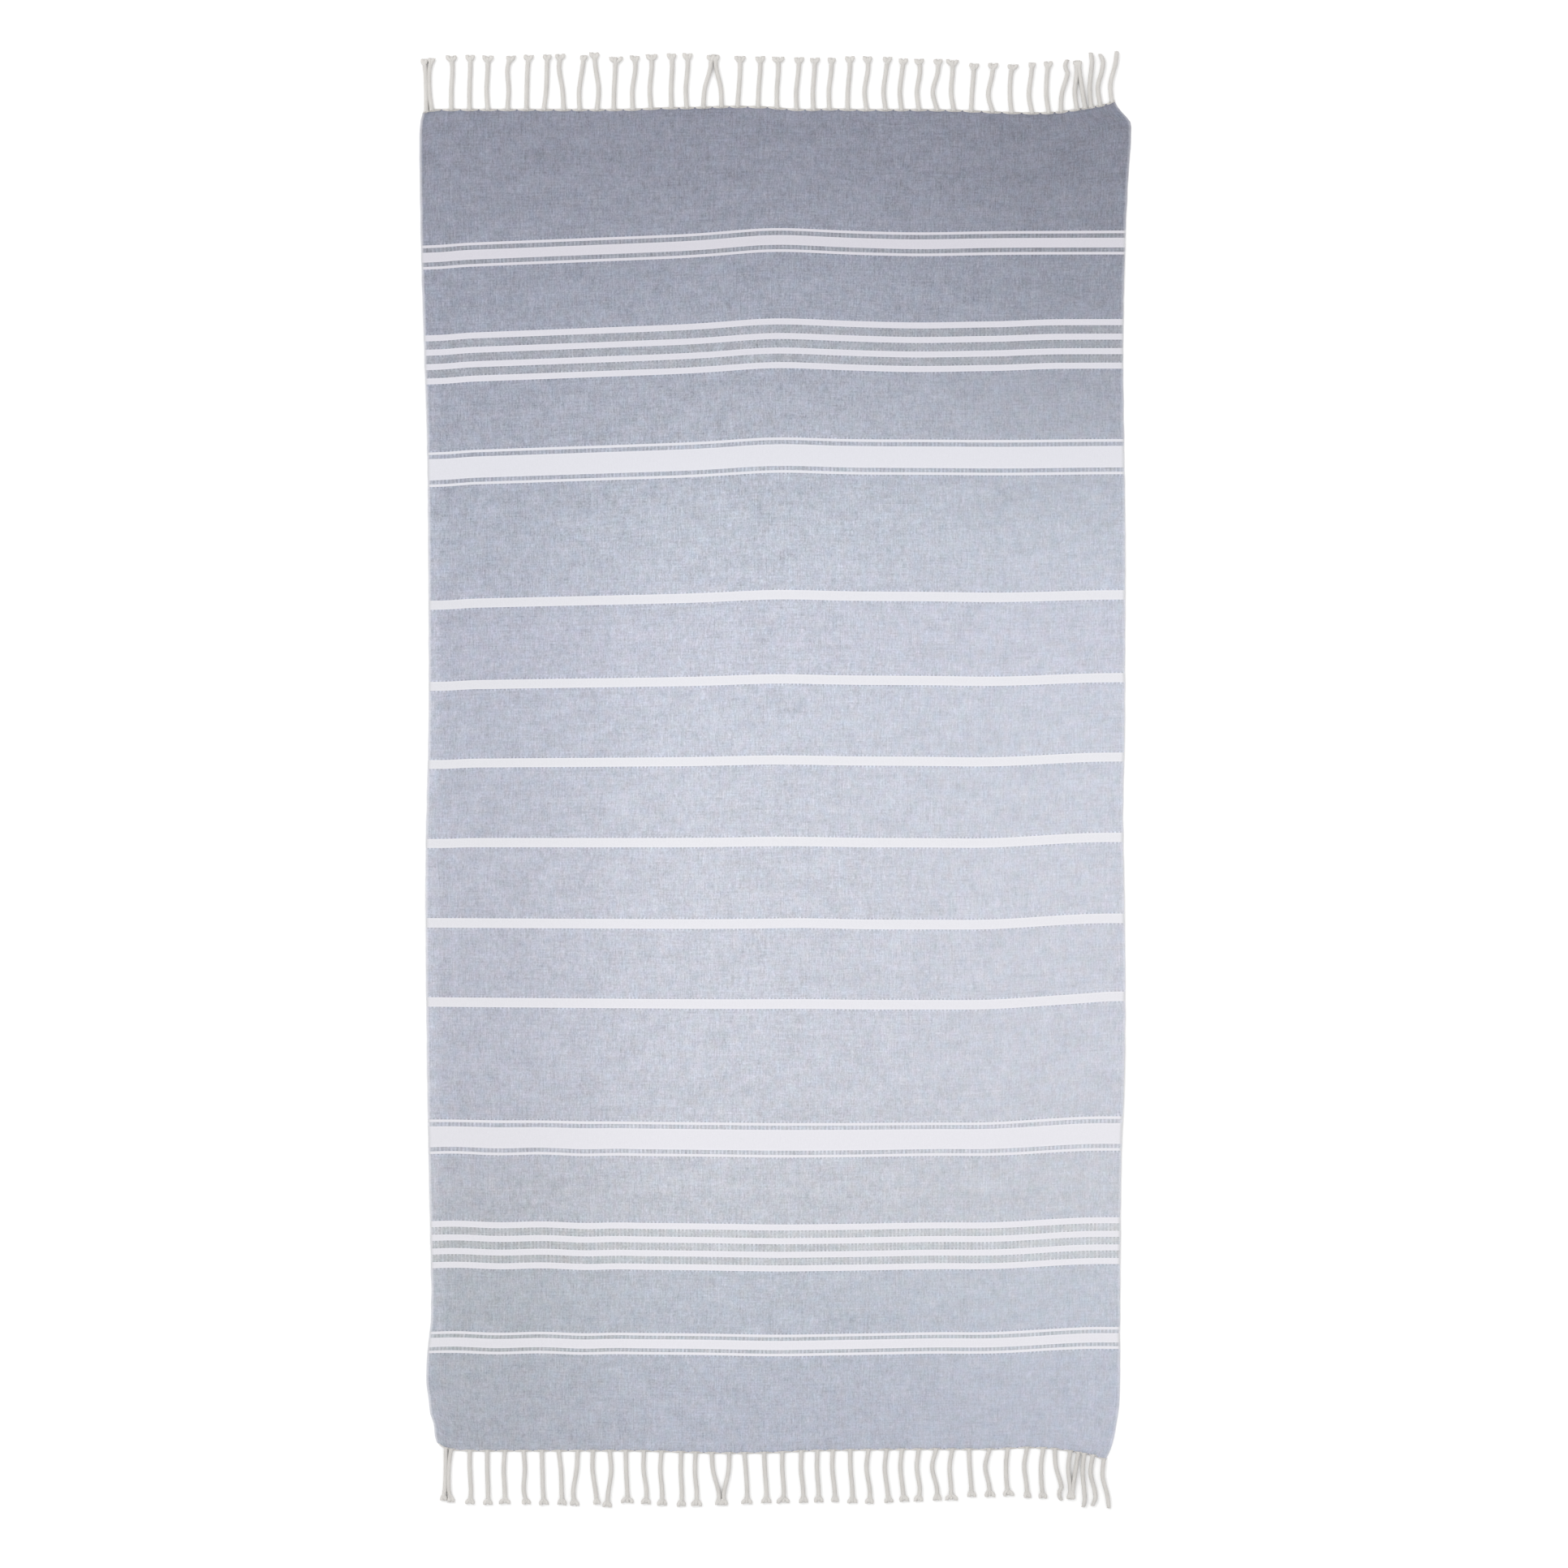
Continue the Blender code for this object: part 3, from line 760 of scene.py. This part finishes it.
def yarn(curve, points, radii):
    """One strand through the points; everything in millimetres."""
    strand = curve.splines.new("POLY")
    strand.points.add(len(points) - 1)
    for knot, point, radius in zip(strand.points, points, radii):
        knot.co = (point[0] * MM, point[1] * MM, point[2] * MM, 1.0)
        knot.radius = radius


def strands(name, sides):
    """An empty curve whose strands are round and closed at both ends; radii are in millimetres."""
    curve = bpy.data.curves.new(name, "CURVE")
    curve.dimensions = "3D"
    curve.bevel_depth = MM
    curve.bevel_resolution = sides
    curve.use_fill_caps = True
    return curve


def ply_path(row, root, tip, across, ply, start, chance):
    """Centres and radii of one of a tassel's plies: twisted together, then parting into soft frayed lobes."""
    way = 1 if tip > root[1] else -1
    length = abs(tip - root[1])
    frayed = row[5] >= FRAYED_FROM
    side = (-1, 1, 0)[ply]
    lobe = max(0.0, row[5] / 2 - 2.3) * side * chance.uniform(0.9, 1.15)
    fuller = FRAYED_FULLER if frayed else 1.0
    short = 1.6 if frayed and side == 0 else chance.uniform(-0.5, 0.5)
    thickness = PLY_RADIUS * (1.0 if way > 0 else LOWER_PLY_SHARE)
    points = []
    radii = []
    for k in range(PLY_KNOTS + 1):
        at = -PLY_TUCKED_IN + (length - short + PLY_TUCKED_IN) * k / PLY_KNOTS
        angle = start + ply * 2 * math.pi / PLIES + 2 * math.pi * at / PLY_PITCH
        parting = ease((at - length + PARTS_BEFORE_END) / PARTS_OVER) if frayed else 0.0
        hold_in = PLY_OFFSET * (1 - parting)
        strayed = across * stray(row, clamp(at / length))
        x = root[0] + strayed + hold_in * math.cos(angle) + lobe * parting
        y = root[1] + way * (at - abs(lobe) * 0.12 * parting)
        z = PLY_HEIGHT + PLY_PRESSED * hold_in * math.sin(angle) - 0.3 * parting
        swollen = 1 + 0.06 * noise.noise(Vector((at / 9, root[0], ply * 7.0)))
        radius = thickness * swollen * (1 + (fuller - 1) * parting)
        points.append((x, y, max(z, radius + LEAST_GAP)))
        radii.append(radius)
    radii[-2] *= 0.9
    radii[-1] *= 0.62
    return points, radii


def fray(curve, points, radii, count, chance):
    """Cut yarn ends that stand a little out of a ply's tip."""
    end = Vector(points[-1])
    toward = (end - Vector(points[-4])).normalized()
    for k in range(count):
        angle = 2 * math.pi * (k + chance.uniform(-0.3, 0.3)) / count
        out = radii[-3] * math.sqrt(chance.uniform(0.1, 1.0)) * 0.8
        side = Vector((math.cos(angle), 0, math.sin(angle)))
        base = end - toward * CUT_END_INSIDE + side * out
        reach = chance.uniform(2.0, 2.9)
        mid = base + toward * reach * 0.6 + side * 0.15
        tip = base + toward * reach + side * chance.uniform(0.1, 0.5)
        for spot in (base, mid, tip):
            spot.z = max(spot.z, CUT_END_LOWEST)
        yarn(curve, [base, mid, tip], CUT_END_RADII)


def gathered_warp(curve, root, left, right, upper, chance):
    """Warp yarns laid sideways along the last pick as a shallow scallop, towards the tassel's root."""
    way = 1 if upper else -1
    deepest = UPPER_SCALLOP if upper else LOWER_SCALLOP
    for k in range(SCALLOP_YARNS):
        depth = deepest * k / (SCALLOP_YARNS - 1)
        points = []
        radii = []
        for share in SCALLOP_PLACES:
            far = right - root[0] if share > 0 else root[0] - left
            x = root[0] + (far - 0.5 - 0.12 * k) * share
            outward = 0.25 - depth * (1 - 0.5 * share**2)
            y = end_edge(x, upper) + way * outward + chance.uniform(-0.08, 0.08)
            points.append((x, y, lie(x * MM, y * MM) / MM + GROUND_THICKNESS / MM + WARP_ABOVE_CLOTH))
            radii.append(WARP_END_RADIUS if abs(share) == 1.0 else WARP_RADIUS)
        yarn(curve, points, radii)


def drawn_up_warp(curve, root, upper, chance):
    """The warp yarns nearest to the root, which rise from the last pick into the tassel."""
    way = 1 if upper else -1
    for k in range(DRAWN_UP_YARNS):
        off = (k - (DRAWN_UP_YARNS - 1) / 2) * DRAWN_UP_SPACING + chance.uniform(-0.15, 0.15)
        y = end_edge(root[0] + off, upper)
        rise = [(2.1 * off, -1.9, 1.6), (1.5 * off, -0.8, 2.1), (off, 0.6, 3.0), (0.8 * off, 2.6, 3.5)]
        yarn(curve, [(root[0] + a, y + way * b, c) for a, b, c in rise], DRAWN_UP_RADII)


def as_piece(name, curves):
    """The curves' strands as one mesh that remembers where each point rests.

    Each curve comes with how coarse its threads' twist is.
    """
    bm = bmesh.new()
    for curve, coarseness in curves:
        loose = bpy.data.objects.new(name + "_strands", curve)
        bpy.context.scene.collection.objects.link(loose)
        bpy.context.view_layer.update()
        mesh = bpy.data.meshes.new_from_object(loose)
        for corner in mesh.uv_layers[0].data:
            corner.uv *= coarseness
        bm.from_mesh(mesh)
        bpy.data.objects.remove(loose)
        bpy.data.meshes.remove(mesh)
        bpy.data.curves.remove(curve)
    for face in bm.faces:
        face.smooth = True
    for edge in bm.edges:
        edge.smooth = edge.calc_face_angle(0.0) < SHARP_YARN_END
    keep_rest_place(bm)
    return finished(bm, name)


def keep_rest_place(bm):
    rest = bm.verts.layers.float_vector.new("rest_place")
    for vert in bm.verts:
        vert[rest] = vert.co


def comb_of_tassels(name, rows, neighbours, upper):
    """Six tassels with their gathered warp, as one piece."""
    cords = strands(name, 3)
    fine = strands(name + "_fine", 0)
    chance = random.Random(name)
    across = 1.0 if upper else LOWER_SHARE
    for row, (left, right) in zip(rows, neighbours):
        x = tassel_x(row, upper)
        root = (x, end_edge(x, upper))
        tip = tassel_tip(row, upper)
        start = chance.uniform(0, 2 * math.pi)
        cut_ends = 11 if row[5] >= FRAYED_FROM else 7
        for ply in range(PLIES):
            points, radii = ply_path(row, root, tip, across, ply, start, chance)
            yarn(cords, points, radii)
            fray(fine, points, radii, cut_ends, chance)
        gathered_warp(fine, root, left, right, upper, chance)
        drawn_up_warp(fine, root, upper, chance)
    return as_piece(name, [(cords, 1.0), (fine, 0.12)])


def tassel_x(row, upper):
    return row[0] + UPPER_SHIFT if upper else row[0] * LOWER_SHARE + LOWER_SHIFT


def tassel_tip(row, upper):
    return UPPER_END / MM + row[4] if upper else LOWER_END / MM - row[4] * LOWER_SHARE


def warp_groups(upper):
    """For each tassel, from where to where along the cut end its warp comes."""
    xs = [tassel_x(row, upper) for row in TASSELS]
    line = UPPER_END_LINE if upper else LOWER_END_LINE
    splits = [line[0][0] + 0.8]
    splits += [(a + b) / 2 for a, b in zip(xs, xs[1:])]
    splits += [line[-1][0] - 0.8]
    return list(zip(splits, splits[1:]))


def weft_turns_and_gap_shade(name, upper):
    """The last picks seen end on, a small dark wedge between every two tassels: partly the deep weft, partly
    painted shade in the gap between two gathers.
    """
    bm = bmesh.new()
    chance = random.Random(name)
    way = 1 if upper else -1
    finer = 1.0 if upper else 0.6
    gaps = [left for left, _ in warp_groups(upper)[1:]]
    gaps.append(tassel_x(TASSELS[-1], upper) + 1.5)
    for gap in gaps:
        largest = 0.8 if chance.random() < 0.6 else 1.4
        size = chance.uniform(0.5, largest) * finer
        made = bmesh.ops.create_cone(
            bm, cap_ends=True, segments=9, radius1=size * MM, radius2=size * 0.55 * MM, depth=0.7 * MM
        )["verts"]
        for vert in made:
            narrow = clamp(0.5 + way * vert.co.y / (2 * size * MM))
            vert.co.x *= 0.2 + 1.1 * narrow
        x = gap + chance.uniform(-0.5, 0.5)
        y = end_edge(x, upper) - way * 0.75
        cloth_top = lie(x * MM, y * MM) + GROUND_THICKNESS
        bmesh.ops.translate(bm, verts=made, vec=(x * MM, y * MM, cloth_top + 0.0005))
    for face in bm.faces:
        face.smooth = True
    keep_rest_place(bm)
    return finished(bm, name)


# ---------------------------------------------------------------- putting the rug together

# Runs narrower than this are pieces on the nearest sheet.
NARROWEST_SHEET = 0.0101


def lay_cloth(ground, stripe):
    """All the woven runs, each with its yarn, its place and its flat size."""
    sheets = {}
    narrow = []
    for (name, node, yarn_kind, top), following in zip(WEFT_RUNS, WEFT_RUNS[1:]):
        bottom = following[3]
        plain = yarn_kind == "ground"
        piece = weave_run("woven_" + name, top, bottom, GROUND_THICKNESS if plain else STRIPE_THICKNESS)
        piece.data.materials.append(ground if plain else stripe)
        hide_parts(node)
        hold(piece)
        if top - bottom >= NARROWEST_SHEET:
            sheets[name] = (piece, top - bottom)
        else:
            narrow.append((name, piece))
    return sheets, narrow


def lay_fringe(yarn_cotton, weft_and_gap_shade_yarn, upper):
    """Seven combs of six tassels, and where the weft's last picks turn between them, dark partly with painted
    shade.
    """
    side = "upper" if upper else "lower"
    groups = warp_groups(upper)
    pieces = []
    for comb in range(COMBS):
        first = comb * TASSELS_PER_COMB
        rows = TASSELS[first : first + TASSELS_PER_COMB]
        reach = groups[first : first + TASSELS_PER_COMB]
        piece = comb_of_tassels(f"{side}_tassels_{comb + 1}", rows, reach, upper)
        piece.data.materials.append(yarn_cotton)
        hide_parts(f"{side}_fringe_{comb + 1}")
        bend_at_roots(piece, upper)
        pieces.append(piece)
    # Small dark wedges of weft, partly painted shade for the gaps between the gathers.
    weft_ends_and_gap_shade = weft_turns_and_gap_shade(f"{side}_weft_turns", upper)
    weft_ends_and_gap_shade.data.materials.append(weft_and_gap_shade_yarn)
    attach(weft_ends_and_gap_shade, f"{side}_end")
    pieces.append(weft_ends_and_gap_shade)
    return pieces


def bend_at_roots(piece, upper):
    """The comb's placement is baked into its mesh, the same at both ends; nothing bends it here."""
    if upper:
        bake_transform(piece)
    else:
        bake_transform(piece)


def declare_sheets(sheets, narrow, upper_fringe, lower_fringe):
    """Groups every run wide enough with the fine lines beside it, and the end runs with the fringe; the
    grouping is not passed on.
    """
    on_sheet = {name: [] for name in sheets}
    names = [run[0] for run in WEFT_RUNS]
    for name, piece in narrow:
        at = names.index(name)
        nearest = min(sheets, key=lambda other: abs(names.index(other) - at))
        on_sheet[nearest].append(piece)
    on_sheet["ground_01"] += upper_fringe
    on_sheet["ground_13"] += lower_fringe


def pale_floor():
    bm = bmesh.new()
    bmesh.ops.create_grid(bm, x_segments=1, y_segments=1, size=6)
    floor = finished(bm, "floor")
    material, tree = blank("plain_pale_floor")
    shader = put(tree, "ShaderNodeBsdfPrincipled", {"Base Color": (0.93, 0.93, 0.93, 1), "Roughness": 0.9})
    put(tree, "ShaderNodeOutputMaterial", {"Surface": shader.outputs[0]})
    floor.data.materials.append(material)


def studio_light():
    world = bpy.data.worlds.new("studio")
    world.use_nodes = True
    world.node_tree.nodes["Background"].inputs["Color"].default_value = (1, 1, 1, 1)
    world.node_tree.nodes["Background"].inputs["Strength"].default_value = 1.07
    bpy.context.scene.world = world
    light = bpy.data.lights.new("soft_box", "AREA")
    light.shape = "SQUARE"
    light.size = 4.0
    light.energy = 190
    lamp = bpy.data.objects.new("soft_box", light)
    lamp.location = (-4.6, 4.0, 6.4)
    lamp.rotation_euler = (Vector((0, 0, 0)) - lamp.location).to_track_quat("-Z", "Y").to_euler()
    bpy.context.scene.collection.objects.link(lamp)


def overhead_camera():
    """Straight down, from far enough to have no perspective to speak of."""
    lens = bpy.data.cameras.new("overhead")
    lens.type = "PERSP"
    lens.lens = 200
    lens.sensor_width = 36
    lens.clip_end = 60
    camera = bpy.data.objects.new("overhead", lens)
    camera.location = (0.0128, -0.005, 11.48)
    bpy.context.scene.collection.objects.link(camera)
    bpy.context.scene.camera = camera


overhead_camera()
pale_floor()
studio_light()
bpy.context.scene.view_settings.view_transform = "Standard"
wide_runs, fine_runs = lay_cloth(ground_cloth(), stripe_cloth())
cotton = twisted_cotton()
# The deep weft's colour, which also carries the painted shade of the gaps between the tassels.
loops = weft_and_gap_shade_cotton()
fringe_above = lay_fringe(cotton, loops, True)
fringe_below = lay_fringe(cotton, loops, False)
declare_sheets(wide_runs, fine_runs, fringe_above, fringe_below)
